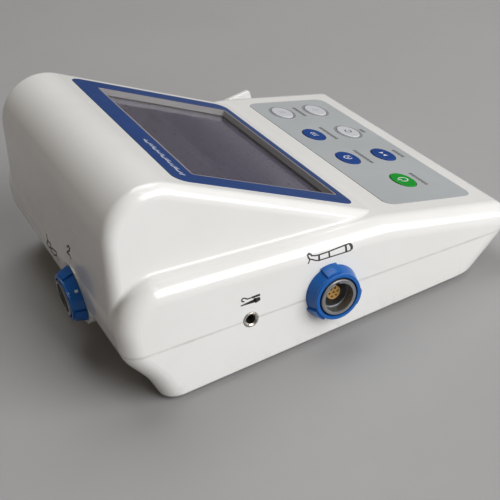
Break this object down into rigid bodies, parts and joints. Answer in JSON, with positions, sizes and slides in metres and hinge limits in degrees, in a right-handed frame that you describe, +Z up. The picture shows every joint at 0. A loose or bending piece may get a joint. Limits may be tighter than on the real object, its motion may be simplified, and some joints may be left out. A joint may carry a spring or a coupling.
{
  "type": "endodontic motor console",
  "caption": "Desktop endodontic motor console with sloped display, keypad, handpiece and pedal sockets, probe jack, and a handpiece cradle.",
  "frame": {"origin": "bottom centre of the bounding box, on the surface that the feet stand on", "axes": "+Z up; -Y towards the user, who faces the keypad; +X to the user's right, where the cradle is; the handpiece socket faces -X"},
  "size_m": [0.1764, 0.164, 0.0784],
  "materials": {
    "white_abs": "glossy moulded ABS, very fine mould grain",
    "blue_plastic": "glossy printed border",
    "clear_window": "clear hard coated window",
    "black_foam": "closed cell foam",
    "grey_liner": "moulded liner of the display opening",
    "display_glass": "polarised display glass, switched off",
    "plated_steel": "plated sheet steel",
    "circuit_board": "green solder mask",
    "grey_overlay": "fine textured overlay film",
    "white_key": "satin key cap",
    "blue_key": "satin key cap",
    "green_key": "satin key cap",
    "black_plastic": "moulded",
    "cream_plastic": "moulded nylon",
    "cable_sheath": "flexible sheath",
    "grey_metal": "satin plated shell",
    "blue_nut": "glossy moulded nut",
    "amber_insulator": "amber insulator",
    "gold_contact": "gold plated",
    "nickel": "bright nickel",
    "rocker_plastic": "satin rocker",
    "foot_rubber": "matte rubber",
    "zinc_screw": "zinc plated"
  },
  "bodies": {
    "console": {"board_connectors": "cream_plastic", "board_screws": "zinc_screw", "buzzer": "black_plastic", "capacitors": "plated_steel", "dc_inlet_body": "black_plastic", "dc_inlet_pin": "nickel", "display_bezel": "blue_plastic", "display_board": "circuit_board", "display_frame": "plated_steel", "display_gasket": "black_foam", "display_panel": "display_glass", "display_ribbon": "cable_sheath", "display_window": "clear_window", "handpiece_cable": "cable_sheath", "handpiece_holder": "white_abs", "handpiece_socket_contacts": "gold_contact", "handpiece_socket_insulator": "amber_insulator", "handpiece_socket_nut": "blue_nut", "handpiece_socket_shell": "grey_metal", "holder_screws": "zinc_screw", "housing_screws": "zinc_screw", "keypad_board": "circuit_board", "keypad_overlay": "grey_overlay", "keypad_ribbon": "cable_sheath", "keypad_switches": "black_plastic", "lower_housing": "white_abs", "main_board": "circuit_board", "microcontroller": "black_plastic", "motor_drivers": "black_plastic", "pedal_cable": "cable_sheath", "pedal_socket_contacts": "gold_contact", "pedal_socket_insulator": "amber_insulator", "pedal_socket_nut": "blue_nut", "pedal_socket_shell": "grey_metal", "power_rocker_pin": "nickel", "power_switch_frame": "black_plastic", "probe_cable": "cable_sheath", "probe_jack_body": "black_plastic", "probe_jack_bush": "nickel", "probe_jack_contacts": "nickel", "rubber_feet": "foot_rubber", "supply_cable": "cable_sheath", "upper_housing": "white_abs", "window_liner": "grey_liner"},
    "program_key": {"program_button": "white_key"},
    "memory_key": {"memory_button": "white_key"},
    "speed_key": {"speed_button": "blue_key"},
    "mode_key": {"mode_button": "white_key"},
    "torque_key": {"torque_button": "blue_key"},
    "ratio_key": {"ratio_button": "blue_key"},
    "start_stop_key": {"start_stop_button": "green_key"},
    "rocker": {"power_rocker": "rocker_plastic"}
  },
  "joints": [
    {"name": "program_press", "type": "slide", "parent": "console", "child": "program_key", "axis": [0, 0.2622, -0.965], "range_m": [0, 0.0004], "stiffness_N_per_m": 700, "springref_m": -0.0006},
    {"name": "memory_press", "type": "slide", "parent": "console", "child": "memory_key", "axis": [0, 0.2622, -0.965], "range_m": [0, 0.0004], "stiffness_N_per_m": 700, "springref_m": -0.0006},
    {"name": "speed_press", "type": "slide", "parent": "console", "child": "speed_key", "axis": [0, 0.2622, -0.965], "range_m": [0, 0.0004], "stiffness_N_per_m": 700, "springref_m": -0.0006},
    {"name": "mode_press", "type": "slide", "parent": "console", "child": "mode_key", "axis": [0, 0.2622, -0.965], "range_m": [0, 0.0004], "stiffness_N_per_m": 700, "springref_m": -0.0006},
    {"name": "torque_press", "type": "slide", "parent": "console", "child": "torque_key", "axis": [0, 0.2622, -0.965], "range_m": [0, 0.0004], "stiffness_N_per_m": 700, "springref_m": -0.0006},
    {"name": "ratio_press", "type": "slide", "parent": "console", "child": "ratio_key", "axis": [0, 0.2622, -0.965], "range_m": [0, 0.0004], "stiffness_N_per_m": 700, "springref_m": -0.0006},
    {"name": "start_stop_press", "type": "slide", "parent": "console", "child": "start_stop_key", "axis": [0, 0.2622, -0.965], "range_m": [0, 0.0004], "stiffness_N_per_m": 700, "springref_m": -0.0006},
    {"name": "power_rock", "type": "hinge", "parent": "console", "child": "rocker", "pos_m": [0.06135, 0.02797, 0.012], "axis": [0, 0, -1], "range_deg": [0, 20]}
  ]
}
